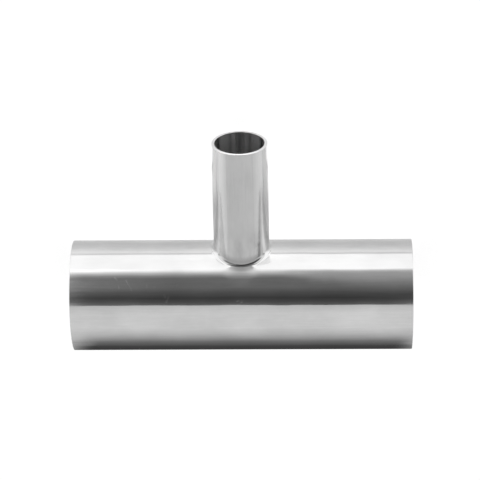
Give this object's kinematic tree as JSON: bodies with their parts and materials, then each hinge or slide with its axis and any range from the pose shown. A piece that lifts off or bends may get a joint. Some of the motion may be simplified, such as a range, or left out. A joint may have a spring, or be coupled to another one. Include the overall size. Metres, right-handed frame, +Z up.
{
  "type": "reducing weld tee",
  "caption": "Reducing weld tee of thin stainless tube: a straight run with a smaller branch rising from a smooth drawn collar at its middle, every end cut square for butt welding.",
  "frame": {"origin": "where the centre line of the run and the centre line of the branch cross", "axes": "+X along the run, +Z up from the table that the tee lies on; the branch points towards -Y and dips until its rim touches the table"},
  "size_m": [0.156, 0.1044, 0.0508],
  "materials": {
    "polished_stainless": "polished to a soft mirror, with faint lengthwise polishing lines"
  },
  "bodies": {
    "root": {"tee_body": "polished_stainless"}
  },
  "joints": []
}
